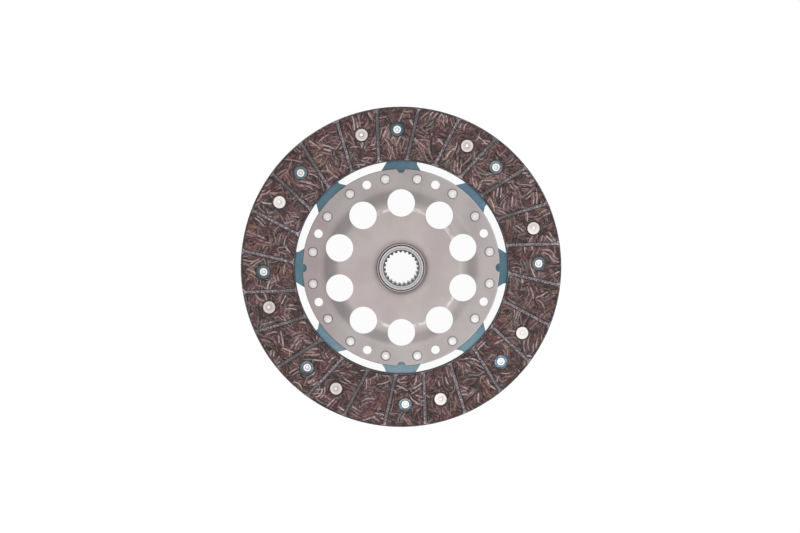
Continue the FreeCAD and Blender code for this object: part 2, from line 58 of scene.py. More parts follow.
# Floor, dome and lamps: a lamp has a name, a place, a diameter and its watts
FLOOR_REACH = 3.0
FLOOR_BOUNCE = 0.82
FLOOR_SHOWN = 0.12
FLOOR_GLOW = 0.93
DOME_LEVELS = ((0.00, 1.00), (0.35, 0.95), (0.62, 0.60), (0.88, 0.60), (0.975, 1.10))
LAMPS = (
    ("upper_side", (0.95, 0.69, 0.62), 0.9, 0.45),
    ("lower_side", (0.95, -0.69, 0.62), 0.9, 0.45),
    ("upper_gleam", (0.43, 0.31, 0.85), 0.35, 0.30),
    ("lower_gleam", (0.43, -0.31, 0.85), 0.35, 0.22),
    ("front_fill", (0.02, -0.45, 0.93), 0.6, 0.45),
)

# Places that follow the solids. A rise is over the plane in the middle between the linings, and a
# sink is the round hole or counterbore of a rivet in a lining.
MID_PLANE = 17.4 * MM
TURN_OVER_ANGLE = 9.075
SEGMENT_COUNT = 8
SEGMENT_PITCH = 360 / SEGMENT_COUNT
PAD_COUNT = 24
PAD_PITCH = 360 / PAD_COUNT
PAD_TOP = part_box("front_lining")[1].z
PAD_RISE = PAD_TOP - MID_PLANE
PAD_INNER = 80.5 * MM
PAD_OUTER = 119.1 * MM
PAD_CORNER = 2.4 * MM
GROOVE_ANGLE = 1.75
GROOVE_OFFSET = 14.3 * MM
GROOVE_HALF = 0.95 * MM
RIVET_CIRCLE = 103.3 * MM
HEAD_ANGLE = 16.55
TAIL_ANGLE = 1.6
SINK_RADIUS = 5.2 * MM
SINK_RISE = 2.15 * MM
GRIP_DEPTH = 0.05 * MM
PLATE_RIVET_CIRCLE = 67.2 * MM
PLATE_RIVET_SPREAD = 10.21
RIM_FRONT = 19.8 * MM
FOOT_REAR = 17.0 * MM
CREST_LINE = 44.3 * MM
LIP_EDGE = 18.7 * MM

# Where a finish, a painted highlight or a painted shade gives way to the next, by the distance from
# the axis
DISH_TO_RIM = (44 * MM, 54 * MM)
SIDE_SHADING_START = (50 * MM, 58 * MM)
PLATE_EDGE = (73.1 * MM, 73.6 * MM)
BORE_EDGE = (13.3 * MM, 13.7 * MM)
NOTCH_SHADE_EDGE = (73 * MM, 74 * MM)
UNDER_LINING = (82 * MM, 92 * MM)
IN_LINING_HOLES = (92 * MM, 96 * MM)

# The same by height, and across the plate by x or, for the gap, by the distance from the x axis
HUB_FACE = (21.4 * MM, 21.9 * MM)
# Painted shade on the left of the plate's rim and painted light on its right
PAINTED_SHADE_SIDE = (-66 * MM, -36 * MM)
PAINTED_LIGHT_SIDE = (20 * MM, 60 * MM)
LIT_EDGE_SIDE = (5 * MM, 35 * MM)
CREST_HIGHLIGHT_SIDE = (-34 * MM, -8 * MM)
CREST_HIGHLIGHT_GAP = (6 * MM, 13 * MM)

# Patterns: marks and patches a metre, how far patches shift at their edges, and the length that the
# rings of a rivet are measured in
TURNING_MARKS = 2400.0
SCUFF_MARKS = 500.0
PATCHES = 125.0
PATCH_RAGGEDNESS = 5 * MM
RING_UNIT = 5 * MM

# Meshes: a yarn has rails along its right edge, middle and left edge
SHARP_ANGLE = 35.0
YARN_SHARP_ANGLE = 80.0
LATHE_SIDES = 48
PUSH_ROUNDS = 4
PUSH_STEP = 0.01 * MM
PUSH_LEAST_SLOPE = 0.2
YARN_RAILS = 3
YARN_POINTS = 7
YARN_SAMPLES = 29
YARN_SINK = 0.03 * MM
YARN_OVERRUN = 0.1 * MM
YARN_SHORTEST = 1.6 * MM
YARN_END_WIDTH = 0.5
YARN_END_CROWN = 0.3
EDGE_MARGIN = 0.55 * MM

# How yarns lie in bundles: the seeds, the limits of even draws and the spreads of normal ones
FRONT_SEED = 11
REAR_SEED = 12
BUNDLE_ROWS = 5
BUNDLE_COLUMNS = 4
ROW_COUNTS = (1, 2, 3, 4)
ROW_COUNT_SHARES = (0.22, 0.38, 0.28, 0.12)
ROW_PITCH_MM = (2.1, 3.0)
LENGTH_MM = (4.5, 12.5)
HALF_WIDTH_MM = (0.46, 0.94)
CROWN_MM = (0.07, 0.12)
BEND_SPREAD_PER_METRE = 45
SWAY_SPREAD_RADIANS = 0.16
HEADING_SPREAD_RADIANS = 0.10
SLIP_SPREAD = 1.4 * MM
TINT_RANGES = ((0.00, 0.40), (0.26, 0.50), (0.50, 0.58), (0.58, 0.65), (0.65, 0.90))
TINT_SHARES = (0.48, 0.24, 0.08, 0.05, 0.15)
BUNDLE_TINT_SHARE = 0.8
UNDER_TINTS = (0.62, 1.0)
UNDER_LENGTH = 0.9
UNDER_HALF_WIDTH = 0.34
UNDER_CROWN = 0.5


class Tree:
    """A node tree whose calls add nodes and, where they don't say otherwise, give back an output."""

    def __init__(self, tree):
        self.tree = tree
        tree.nodes.clear()

    def add(self, kind, inputs=(), output=0, **settings):
        """A node of a kind, whose inputs are sockets to link or values to set."""
        node = self.tree.nodes.new(kind)
        for name, value in settings.items():
            setattr(node, name, value)
        for key, value in dict(inputs).items():
            if isinstance(value, bpy.types.NodeSocket):
                self.tree.links.new(value, node.inputs[key])
            else:
                node.inputs[key].default_value = value
        return node.outputs[output] if node.outputs else None

    def math(self, operation, *values):
        """A sum, product or other operation on values or sockets."""
        return self.add("ShaderNodeMath", enumerate(values), operation=operation)

    def place(self):
        """The object coordinates."""
        return self.add("ShaderNodeTexCoord", output="Object")

    def split(self, vector):
        """A vector's three parts."""
        return self.add("ShaderNodeSeparateXYZ", {"Vector": vector}).node.outputs

    def radius(self, x, y):
        """The distance from the disc's axis."""
        squares = self.math("ADD", self.math("MULTIPLY", x, x), self.math("MULTIPLY", y, y))
        return self.math("SQRT", squares)

    def angle(self, x, y):
        """The angle about the disc's axis, in radians."""
        return self.math("ARCTAN2", y, x)

    def band(self, value, low, high, start=0.0, end=1.0):
        """Smoothly maps a value's range low to high onto start to end, clamped."""
        inputs = {"Value": value, "From Min": low, "From Max": high, "To Min": start, "To Max": end}
        return self.add("ShaderNodeMapRange", inputs, interpolation_type="SMOOTHSTEP")

    def mix(self, factor, first, second, blend="MIX"):
        """The second colour blended over the first by a factor."""
        inputs = {0: factor, 6: first, 7: second}
        return self.add("ShaderNodeMix", inputs, 2, data_type="RGBA", blend_type=blend)

    def layered(self, base, layers, within=None):
        """A colour with shades laid over it, each as far as its value's band and within say."""
        for value, span, shade in layers:
            share = self.band(value, *span)
            if within is not None:
                share = self.math("MULTIPLY", share, within)
            base = self.mix(share, base, colour(*shade))
        return base

    def noise(self, vector, scale, detail=2.0, roughness=0.5):
        """Noise whose values mostly lie between 0.38 and 0.62."""
        inputs = {"Vector": vector, "Scale": scale, "Detail": detail, "Roughness": roughness}
        return self.add("ShaderNodeTexNoise", inputs)

    def stretched(self, vector, scale, place=(0, 0, 0)):
        """A vector scaled along each axis and moved to another place of a pattern."""
        inputs = {"Vector": vector, "Scale": scale, "Location": place}
        return self.add("ShaderNodeMapping", inputs)

    def ramp(self, value, stops, interpolation="LINEAR"):
        """Colours by value, from stops of a value and a shade."""
        output = self.add("ShaderNodeValToRGB", {"Fac": value})
        ramp = output.node.color_ramp
        ramp.interpolation = interpolation
        while len(ramp.elements) < len(stops):
            ramp.elements.new(1.0)
        for element, (place, shade) in zip(ramp.elements, stops):
            element.position = place
            element.color = colour(*shade)
        return output

    def profile(self, length, stops):
        """A ramp whose stops are placed by a length in millimetres."""
        first, last = stops[0][0], stops[-1][0]
        inputs = {"Value": length, "From Min": first * MM, "From Max": last * MM}
        share = self.add("ShaderNodeMapRange", inputs)
        return self.ramp(share, [((at - first) / (last - first), shade) for at, shade in stops])

    def bump(self, height, distance, strength, below=None):
        """A bumped normal, which may lie over the bumps of another one."""
        inputs = {"Height": height, "Distance": distance, "Strength": strength}
        if below is not None:
            inputs["Normal"] = below
        return self.add("ShaderNodeBump", inputs)

    def surface(self, **inputs):
        """The tree's shader and its output node: gives back nothing."""
        names = {name.replace("_", " "): value for name, value in inputs.items()}
        shader = self.add("ShaderNodeBsdfPrincipled", names)
        self.add("ShaderNodeOutputMaterial", {"Surface": shader})


def material(name):
    """A new material and its empty node tree."""
    made = bpy.data.materials.new(name)
    made.use_nodes = True
    return made, Tree(made.node_tree)


def colour(red, green, blue):
    """A colour with alpha, for a socket."""
    return (red, green, blue, 1.0)


def grey(level):
    """A grey with alpha, for a socket."""
    return colour(level, level, level)


def own_angle(tree, z, angle):
    """The angle of a lining's point as seen from that lining's own side."""
    turned = tree.math("SUBTRACT", 2 * math.radians(TURN_OVER_ANGLE), angle)
    in_front = tree.math("GREATER_THAN", z, MID_PLANE)
    to_front = tree.math("MULTIPLY", tree.math("SUBTRACT", angle, turned), in_front)
    return tree.math("ADD", turned, to_front)


def rivet_distance(tree, radius, own, first_angle):
    """How far a point is from the axis of the nearest of eight lining rivets."""
    pitch = math.radians(SEGMENT_PITCH)
    phase = tree.math("SUBTRACT", own, math.radians(first_angle))
    step = tree.math("MULTIPLY", tree.math("ROUND", tree.math("DIVIDE", phase, pitch)), pitch)
    turn = tree.math("COSINE", tree.math("SUBTRACT", phase, step))
    product = tree.math("MULTIPLY", tree.math("MULTIPLY", radius, turn), 2 * RIVET_CIRCLE)
    squares = tree.math("ADD", tree.math("MULTIPLY", radius, radius), RIVET_CIRCLE ** 2)
    return tree.math("SQRT", tree.math("MAXIMUM", tree.math("SUBTRACT", squares, product), 0.0))


def groove_distance(tree, radius, own):
    """How far a point is from the middle line of the nearest groove in its own lining."""
    pitch = math.radians(PAD_PITCH)
    first = math.radians(GROOVE_ANGLE + 90)
    lean = tree.math("ARCCOSINE", tree.math("DIVIDE", GROOVE_OFFSET, radius))
    phase = tree.math("SUBTRACT", tree.math("ADD", own, lean), first)
    step = tree.math("ROUND", tree.math("DIVIDE", phase, pitch))
    normal = tree.math("ADD", tree.math("MULTIPLY", step, pitch), first)
    reach = tree.math("MULTIPLY", radius, tree.math("COSINE", tree.math("SUBTRACT", own, normal)))
    return tree.math("ABSOLUTE", tree.math("SUBTRACT", reach, GROOVE_OFFSET))


def crest_wear_and_highlight(tree, x, y, radius):
    """How far the plate's crest is coloured bright: rubbed in scuffs, with a painted highlight that
    is less on the left and near y 0.
    """
    around = tree.add("ShaderNodeCombineXYZ", {
        0: tree.angle(x, y),
        1: tree.math("MULTIPLY", radius, SCUFF_MARKS),
    })
    scuff = tree.noise(tree.stretched(around, (9, 1, 1)), 1.0, 4.0, 0.6)
    away = tree.math("ABSOLUTE", tree.math("SUBTRACT", radius, CREST_LINE))
    rubbed_and_lit = tree.band(away, 0.3 * MM, 2.0 * MM, 0.65, 0.0)
    rubbed_and_lit = tree.math("MULTIPLY", rubbed_and_lit, tree.band(scuff, 0.38, 0.60))
    rubbed_and_lit = tree.math("MULTIPLY", rubbed_and_lit, tree.band(x, *CREST_HIGHLIGHT_SIDE))
    beside = tree.band(tree.math("ABSOLUTE", y), *CREST_HIGHLIGHT_GAP, 0.25, 1.0)
    return tree.math("MULTIPLY", rubbed_and_lit, beside)


def plate_material():
    """Satin sheet with a warm tint, lighter in the dish and smudged, with painted light and shade."""
    made, tree = material("plate_satin")
    place = tree.place()
    x, y, _ = tree.split(place)
    radius = tree.radius(x, y)
    cloud = tree.noise(place, 26.0, 3.0, 0.55)
    tone = tree.noise(tree.stretched(place, (11, 11, 11), (0.7, 0.2, 0)), 1.0, 1.0)
    grain = tree.noise(tree.stretched(place, (1300, 110, 300)), 1.0, 3.0)
    speck = tree.noise(place, 2600.0, 2.0)

    mottle = tree.band(cloud, 0.3, 0.7)
    rim = tree.mix(mottle, colour(0.372, 0.330, 0.334), colour(0.415, 0.372, 0.372))
    dish = tree.mix(mottle, colour(0.448, 0.388, 0.388), colour(0.492, 0.430, 0.424))
    base = tree.layered(tree.mix(tree.band(radius, *DISH_TO_RIM), dish, rim), [
        (tone, (0.45, 0.60, 0.0, 0.25), (0.385, 0.368, 0.350)),
        (grain, (0.4, 0.8, 0.0, 0.10), (0.52, 0.49, 0.48)),
    ])

    smudge = tree.noise(tree.stretched(place, (48, 48, 48), (0.2, 0.6, 0)), 1.0, 2.0)
    smudge = tree.band(smudge, 0.36, 0.64)
    smudge = tree.mix(smudge, colour(0.965, 0.955, 0.958), colour(1.035, 1.050, 1.042))
    base = tree.mix(1.0, base, smudge, "MULTIPLY")
    # Painted shade, slightly warm, on the left of the rim and painted light on its right
    painted_side_shading = tree.band(x, *PAINTED_SHADE_SIDE)
    painted_side_shading = tree.mix(painted_side_shading, colour(0.940, 0.880, 0.888), colour(1.015, 1.015, 1.015))
    painted_side_shading = tree.mix(tree.band(x, *PAINTED_LIGHT_SIDE), painted_side_shading, colour(1.075, 1.070, 1.075))
    base = tree.mix(tree.band(radius, *SIDE_SHADING_START), base, painted_side_shading, "MULTIPLY")

    # The crest's scuffs, and a painted highlight kept off the left side and the gap at y 0
    base = tree.mix(crest_wear_and_highlight(tree, x, y, radius), base, colour(0.86, 0.84, 0.83))
    # A painted highlight along the plate's rim edge, on its right side
    lit_side = tree.band(x, *LIT_EDGE_SIDE, 0.0, 0.60)
    base = tree.layered(base, [(radius, PLATE_EDGE, (0.78, 0.75, 0.75))], lit_side)
    # Painted shade in a soft dark ring around the hub's lip
    painted_lip_shade = (LIP_EDGE, LIP_EDGE + 5.0 * MM, 0.30, 0.0)
    base = tree.layered(base, [(radius, painted_lip_shade, (0.110, 0.085, 0.095))])

    rough = tree.band(cloud, 0.3, 0.7, 0.31, 0.36)
    normal = tree.bump(grain, 0.02 * MM, 0.10)
    normal = tree.bump(speck, 0.01 * MM, 0.25, normal)
    tree.surface(Base_Color=base, Metallic=1.0, Roughness=rough, Normal=normal)
    return made


def hub_material():
    """Turned steel: a ringed front end with painted shade beside its nose, a clouded barrel and a
    darker bore.
    """
    made, tree = material("turned_steel")
    place = tree.place()
    x, y, z = tree.split(place)
    radius = tree.radius(x, y)
    outward = tree.add("ShaderNodeCombineXYZ", {0: tree.math("MULTIPLY", radius, TURNING_MARKS)})
    turned = tree.noise(outward, 1.0, 2.0)
    cloud = tree.noise(place, 90.0, 3.0)
    rings = tree.profile(radius, [
        (13.50, (0.240, 0.245, 0.250)),
        (13.72, (0.410, 0.400, 0.405)),
        (13.90, (0.545, 0.520, 0.530)),
        (14.30, (0.555, 0.530, 0.540)),
        (14.50, (0.325, 0.310, 0.315)),
        (15.25, (0.335, 0.320, 0.325)),
        (15.40, (0.600, 0.570, 0.585)),
        (15.90, (0.645, 0.610, 0.625)),
        (16.40, (0.640, 0.600, 0.610)),
        # Painted shade in the gap beside the nose, from 16.65 to 17.45 mm
        (16.65, (0.380, 0.345, 0.355)),
        (17.15, (0.370, 0.330, 0.340)),
        (17.45, (0.390, 0.345, 0.355)),
        (17.90, (0.400, 0.350, 0.360)),
        (18.70, (0.470, 0.415, 0.425)),
    ])
    barrel = tree.mix(cloud, colour(0.42, 0.41, 0.41), colour(0.58, 0.57, 0.56))
    base = tree.layered(tree.mix(tree.band(z, *HUB_FACE), barrel, rings), [
        (turned, (0.4, 0.8, 0.0, 0.18), (0.80, 0.80, 0.80)),
        (radius, (*BORE_EDGE, 0.80, 0.0), (0.210, 0.225, 0.225)),
    ])
    rough = tree.band(turned, 0.3, 0.7, 0.22, 0.32)
    normal = tree.bump(turned, 0.03 * MM, 0.4)
    tree.surface(Base_Color=base, Metallic=1.0, Roughness=rough, Normal=normal)
    return made


def spring_material():
    """Blued spring steel, tempered differently by segment and hole, with painted light and shade."""
    made, tree = material("blued_spring_steel")
    place = tree.place()
    x, y, z = tree.split(place)
    radius = tree.radius(x, y)
    cloud = tree.noise(place, 62.0, 2.0, 0.5)
    temper_and_painted_light = tree.noise(tree.stretched(place, (9, 9, 9), (0.3, 0.9, 0)), 1.0, 1.0)
    grain = tree.noise(place, 520.0, 3.0)
    base = tree.ramp(cloud, [
        (0.40, (0.110, 0.210, 0.240)),
        (0.47, (0.125, 0.220, 0.275)),
        (0.54, (0.145, 0.235, 0.305)),
        (0.61, (0.125, 0.205, 0.285)),
    ])
    # Tempering tone by segment, its noise placed so that it also paints light and shade on single
    # necks
    base = tree.layered(base, [
        (temper_and_painted_light, (0.47, 0.58, 0.0, 0.60), (0.065, 0.145, 0.180)),
        (temper_and_painted_light, (0.38, 0.48, 0.75, 0.0), (0.240, 0.345, 0.395)),
        (grain, (0.48, 0.70, 0.0, 0.20), (0.26, 0.31, 0.33)),
    ])
    # Lighter and greyer under the linings: partly the steel's own greyer colour, partly painted light
    # that lifts the shade in the lining holes
    under = tree.mix(tree.band(radius, *UNDER_LINING), grey(1), colour(1.75, 1.38, 1.18))
    base = tree.mix(1.0, base, under, "MULTIPLY")
    lot = tree.noise(tree.stretched(place, (17, 17, 17), (0.4, 0.1, 0)), 1.0, 1.0)
    tinge = tree.noise(place, 170.0, 1.0)
    base = tree.layered(base, [
        (lot, (0.40, 0.47, 0.80, 0.0), (0.050, 0.170, 0.215)),
        (lot, (0.54, 0.62, 0.0, 0.75), (0.330, 0.560, 0.740)),
        (tinge, (0.38, 0.47, 0.60, 0.0), (0.082, 0.158, 0.262)),
        (tinge, (0.52, 0.62, 0.0, 0.60), (0.155, 0.285, 0.245)),
    ], tree.band(radius, *IN_LINING_HOLES))
    # Painted shade on the front of the springs under the plate's rim, which shows in its notches
    at_front = tree.math("GREATER_THAN", z, MID_PLANE)
    notch_shade = (*NOTCH_SHADE_EDGE, 0.35, 0.0)
    base = tree.layered(base, [(radius, notch_shade, (0.055, 0.085, 0.070))], at_front)
    rough = tree.band(grain, 0.3, 0.7, 0.34, 0.46)
    normal = tree.bump(grain, 0.02 * MM, 0.4)
    tree.surface(Base_Color=base, Metallic=0.85, Roughness=rough, Normal=normal)
    return made


def patch_place(tree, place):
    """A lining's coordinates, turned another way in each ragged patch, and the patch's own value."""
    inputs = {"Vector": place, "Scale": 240.0, "Detail": 1.0}
    shove = tree.add("ShaderNodeTexNoise", inputs, "Color")
    inputs = {0: shove, 1: (PATCH_RAGGEDNESS, PATCH_RAGGEDNESS, 0), 2: place}
    ragged = tree.add("ShaderNodeVectorMath", inputs, operation="MULTIPLY_ADD")
    patch = tree.add("ShaderNodeTexVoronoi", {"Vector": ragged, "Scale": PATCHES}, "Color")
    heading, lot, _ = tree.split(patch)
    inputs = {"Vector": place, "Angle": tree.math("MULTIPLY", heading, 2 * math.pi)}
    return tree.add("ShaderNodeVectorRotate", inputs, rotation_type="Z_AXIS"), lot


def resin_colour(tree, place):
    """The pads' dark resin and the fibres in it, which run their own way in each patch."""
    headed, lot = patch_place(tree, place)
    fibre = tree.noise(tree.stretched(headed, (900, 170, 500)), 1.0, 2.0, 0.65)
    resin = tree.ramp(fibre, [
        (0.38, (0.030, 0.025, 0.025)),
        (0.46, (0.075, 0.049, 0.049)),
        (0.53, (0.134, 0.086, 0.083)),
        (0.59, (0.217, 0.151, 0.143)),
        (0.66, (0.365, 0.277, 0.261)),
    ])
    tinge = tree.noise(tree.stretched(headed, (330, 170, 300), (0.3, 0.1, 0)), 1.0, 1.0)
    resin = tree.layered(resin, [
        (tinge, (0.54, 0.62, 0.0, 0.55), (0.160, 0.050, 0.058)),
        (tinge, (0.36, 0.44, 0.60, 0.0), (0.045, 0.050, 0.044)),
    ])
    resin = tree.mix(tree.math("MULTIPLY", lot, 0.35), resin, colour(0.080, 0.052, 0.050))
    return resin, fibre


def slate_colour(tree, place, radius):
    """The flecked slate of the grooves, sinks and sides, darker past the pads, and its flecks."""
    flecks = tree.noise(place, 900.0, 3.0, 0.7)
    slate = tree.ramp(flecks, [
        (0.42, (0.175, 0.160, 0.168)),
        (0.50, (0.305, 0.270, 0.293)),
        (0.57, (0.515, 0.446, 0.486)),
        (0.65, (0.920, 0.840, 0.880)),
    ])
    stain = tree.noise(place, 22.0, 1.0)
    slate = tree.layered(slate, [(stain, (0.45, 0.53, 0.65, 0.0), (0.178, 0.171, 0.168))])
    past_outer = tree.band(radius, PAD_OUTER + 0.1 * MM, PAD_OUTER + 0.5 * MM)
    past_inner = tree.band(radius, PAD_INNER - 0.3 * MM, PAD_INNER + 0.1 * MM, 1.0, 0.0)
    at_rim = tree.math("MULTIPLY", tree.math("MAXIMUM", past_outer, past_inner), 0.70)
    return tree.mix(at_rim, slate, colour(0.040, 0.042, 0.045)), flecks


def pad_border(tree, radius, own, from_groove):
    """How far a pad is darkened near its grooves, rivet holes and outer and inner edges."""
    beside = tree.band(from_groove, GROOVE_HALF + 0.35 * MM, GROOVE_HALF + 1.15 * MM, 0.88, 0.0)
    nearest = tree.math(
        "MINIMUM",
        rivet_distance(tree, radius, own, HEAD_ANGLE),
        rivet_distance(tree, radius, own, TAIL_ANGLE),
    )
    at_hole = tree.band(nearest, SINK_RADIUS + 0.2 * MM, SINK_RADIUS + 1.0 * MM, 0.65, 0.0)
    at_outer = tree.band(radius, PAD_OUTER - 0.9 * MM, PAD_OUTER - 0.2 * MM, 0.0, 0.65)
    at_inner = tree.band(radius, PAD_INNER + 0.2 * MM, PAD_INNER + 1.1 * MM, 0.82, 0.0)
    border = tree.math("MAXIMUM", beside, at_hole)
    return tree.math("MAXIMUM", border, tree.math("MAXIMUM", at_outer, at_inner))


def lining_material():
    """Moulded friction lining: fibrous resin on the pads and flecked slate in and around them."""
    made, tree = material("moulded_lining")
    place = tree.place()
    x, y, z = tree.split(place)
    radius = tree.radius(x, y)
    own = own_angle(tree, z, tree.angle(x, y))
    from_groove = groove_distance(tree, radius, own)
    resin, fibre = resin_colour(tree, place)
    border = pad_border(tree, radius, own, from_groove)
    resin = tree.mix(border, resin, colour(0.034, 0.032, 0.034))
    slate, flecks = slate_colour(tree, place, radius)

    rise = tree.math("ABSOLUTE", tree.math("SUBTRACT", z, MID_PLANE))
    on_top = tree.band(rise, PAD_RISE - 0.25 * MM, PAD_RISE - 0.1 * MM)
    past_arris = tree.band(from_groove, GROOVE_HALF + 0.02 * MM, GROOVE_HALF + 0.14 * MM)
    base = tree.mix(tree.math("MULTIPLY", on_top, past_arris), slate, resin)
    normal = tree.bump(fibre, 0.05 * MM, 0.4)
    normal = tree.bump(flecks, 0.05 * MM, 0.4, normal)
    tree.surface(Base_Color=base, Roughness=0.75, Specular_IOR_Level=0.15, Normal=normal)
    return made


def yarn_material():
    """Short yarns: their attribute holds the place across, the place along in mm and a tint."""
    made, tree = material("lining_yarn")
    strand = tree.add("ShaderNodeAttribute", output="Vector", attribute_name="strand")
    across, along, tint = tree.split(strand)
    hue = tree.ramp(tint, [
        (0.00, (0.418, 0.318, 0.306)),
        (0.14, (0.560, 0.441, 0.427)),
        (0.26, (0.312, 0.222, 0.213)),
        (0.40, (0.214, 0.142, 0.139)),
        (0.50, (0.205, 0.208, 0.185)),
        (0.58, (0.260, 0.140, 0.100)),
        (0.65, (0.168, 0.054, 0.062)),
        (0.74, (0.120, 0.070, 0.070)),
        (0.88, (0.038, 0.038, 0.038)),
    ], "CONSTANT")
    lines = tree.add("ShaderNodeCombineXYZ", {
        0: tree.math("MULTIPLY", across, 1.3),
        1: tree.math("MULTIPLY", along, 0.40),
        2: tree.math("MULTIPLY", tint, 97.0),
    })
    fibre = tree.noise(lines, 1.0, 3.0, 0.6)
    from_middle = tree.math("ABSOLUTE", across)
    smear = tree.noise(tree.place(), 330.0, 2.0, 0.5)
    base = tree.layered(hue, [
        (fibre, (0.52, 0.70, 0.0, 0.50), (0.620, 0.520, 0.490)),
        (fibre, (0.32, 0.47, 0.58, 0.0), (0.085, 0.052, 0.050)),
        # Painted shade along each yarn's edges, where its round turns away
        (from_middle, (0.40, 1.00, 0.0, 0.86), (0.042, 0.029, 0.029)),
        (smear, (0.50, 0.64, 0.0, 0.60), (0.108, 0.056, 0.059)),
    ])
    normal = tree.bump(fibre, 0.06 * MM, 0.5)
    tree.surface(Base_Color=base, Roughness=0.68, Specular_IOR_Level=0.2, Normal=normal)
    return made


def rivet_material(name, stops, roughness, dulling, gleam):
    """Bright formed metal, coloured by its ring attribute, the distance from the rivet's own axis
    in ring units. Single rivets are duller or brighter, up to the shares dulling and gleam."""
    made, tree = material(name)
    ring = tree.add("ShaderNodeAttribute", output="Fac", attribute_name="ring")
    place = tree.place()
    marks = tree.noise(place, 900.0, 2.0, 0.5)
    cloud = tree.noise(place, 150.0, 2.0, 0.5)
    tone = tree.noise(place, 17.0, 1.0)
    base = tree.layered(tree.ramp(ring, stops), [
        (tone, (0.40, 0.50, dulling, 0.0), (0.38, 0.34, 0.34)),
        (tone, (0.53, 0.61, 0.0, gleam), (1.00, 0.98, 0.95)),
        (cloud, (0.35, 0.7, 0.0, 0.12), (0.45, 0.43, 0.43)),
    ])
    rough = tree.band(marks, 0.3, 0.7, roughness, roughness + 0.06)
    normal = tree.bump(marks, 0.02 * MM, 0.2)
    tree.surface(Base_Color=base, Metallic=1.0, Roughness=rough, Normal=normal)
    return made


def steel_material():
    """The plated steel of the rivets in the plate's rim, with painted shade on the heads' steep
    edges.
    """
    return rivet_material("plated_rivet", [
        (0.00, (0.780, 0.750, 0.765)),
        (0.24, (0.740, 0.710, 0.725)),
        (0.34, (0.630, 0.605, 0.615)),
        (0.44, (0.700, 0.670, 0.680)),
        (0.60, (0.645, 0.615, 0.625)),
        # The last two stops paint shade on the steep edge, where a head meets the plate
        (0.70, (0.380, 0.360, 0.370)),
        (0.75, (0.170, 0.155, 0.160)),
    ], roughness=0.22, dulling=0.10, gleam=0.16)


def copper_material():
    """The pale copper plate of the heads in the front lining, with its rings of pressing and painted
    shade at the edge.
    """
    return rivet_material("pale_copper", [
        (0.00, (0.980, 0.960, 0.940)),
        (0.20, (0.980, 0.960, 0.940)),
        (0.27, (0.620, 0.555, 0.535)),
        (0.34, (0.430, 0.365, 0.350)),
        (0.42, (0.610, 0.535, 0.515)),
        (0.50, (0.660, 0.580, 0.560)),
        (0.56, (0.450, 0.385, 0.365)),
        (0.63, (0.740, 0.660, 0.635)),
        (0.73, (0.800, 0.715, 0.690)),
        (0.79, (0.580, 0.505, 0.485)),
        (0.86, (0.780, 0.695, 0.670)),
        (0.93, (0.620, 0.540, 0.515)),
        # The last stop paints shade on the head's edge in its sink
        (0.97, (0.220, 0.180, 0.175)),
    ], roughness=0.24, dulling=0.40, gleam=0.50)


def silver_material():
    """The bright metal of the rear lining's rivets, whose rolled ends show in the front one, with
    painted shade on their edges.
    """
    return rivet_material("rolled_bright", [
        (0.00, (0.900, 0.890, 0.890)),
        (0.18, (0.840, 0.830, 0.830)),
        (0.25, (0.660, 0.660, 0.665)),
        (0.31, (0.780, 0.785, 0.790)),
        (0.36, (0.920, 0.925, 0.930)),
        (0.585, (0.870, 0.875, 0.880)),
        # The last stops paint shade on the rolled end's steep edge
        (0.63, (0.620, 0.630, 0.640)),
        (0.66, (0.220, 0.230, 0.235)),
    ], roughness=0.20, dulling=0.12, gleam=0.50)


def polar(radius, angle):
    """The point at a radius and an angle in degrees."""
    turn = math.radians(angle)
    return np.array([radius * math.cos(turn), radius * math.sin(turn)])


def turned_over(points):
    """Front points turned over to the rear about the line through the middle of a segment."""
    line = np.append(polar(1, TURN_OVER_ANGLE), 0.0)
    away = points - np.array([0, 0, MID_PLANE])
    flipped = 2 * np.outer(away @ line, line) - away
    return flipped + np.array([0, 0, MID_PLANE])


def mesh_piece(name, points, faces, finish, sharp=SHARP_ANGLE):
    """A mesh object that rides on the part, with smooth shading between its sharp edges."""
    mesh = bpy.data.meshes.new(name)
    mesh.from_pydata([tuple(point) for point in points], [], faces)
    mesh.validate()
    mesh.shade_smooth()
    mesh.set_sharp_from_angle(angle=math.radians(sharp))
    mesh.materials.append(finish)
    piece = bpy.data.objects.new(name, mesh)
    bpy.context.scene.collection.objects.link(piece)
    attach(piece, "root")
    return piece


def lathe(outline, places):
    """A closed outline of (radius, height) turned at each place: points, faces and radii."""
    turns = np.arange(LATHE_SIDES) * (2 * math.pi / LATHE_SIDES)
    points, faces, radii = [], [], []
    for place in places:
        rings = []
        for radius, height in outline:
            corners = 1 if radius == 0 else LATHE_SIDES
            rings.append(list(range(len(points), len(points) + corners)))
            for turn in turns[:corners]:
                x = place[0] + radius * math.cos(turn)
                y = place[1] + radius * math.sin(turn)
                points.append((x, y, height))
                radii.append(radius)
        for upper, lower in zip(rings, rings[1:] + rings[:1]):
            for i in range(LATHE_SIDES):
                j = (i + 1) % LATHE_SIDES
                corners = [upper[i % len(upper)], lower[i % len(lower)]]
                corners += [lower[j % len(lower)], upper[j % len(upper)]]
                face = list(dict.fromkeys(corners))
                if len(face) > 2:
                    faces.append(face)
    return np.array(points), faces, np.array(radii)


def pad_edge_distance(points):
    """How far points lie outside pad 0's rounded edges: below 0 inside."""
    first = polar(1, GROOVE_ANGLE + 90)
    last = polar(1, GROOVE_ANGLE + PAD_PITCH + 90)
    radius = np.hypot(points[:, 0], points[:, 1])
    sides = np.stack([
        GROOVE_OFFSET + GROOVE_HALF - points @ first,
        points @ last - (GROOVE_OFFSET - GROOVE_HALF),
        PAD_INNER - radius,
        radius - PAD_OUTER,
    ])
    reach = np.maximum(sides + PAD_CORNER, 0)
    inside = np.minimum(np.max(sides + PAD_CORNER, axis=0), 0)
    return np.sqrt((reach ** 2).sum(axis=0)) + inside - PAD_CORNER


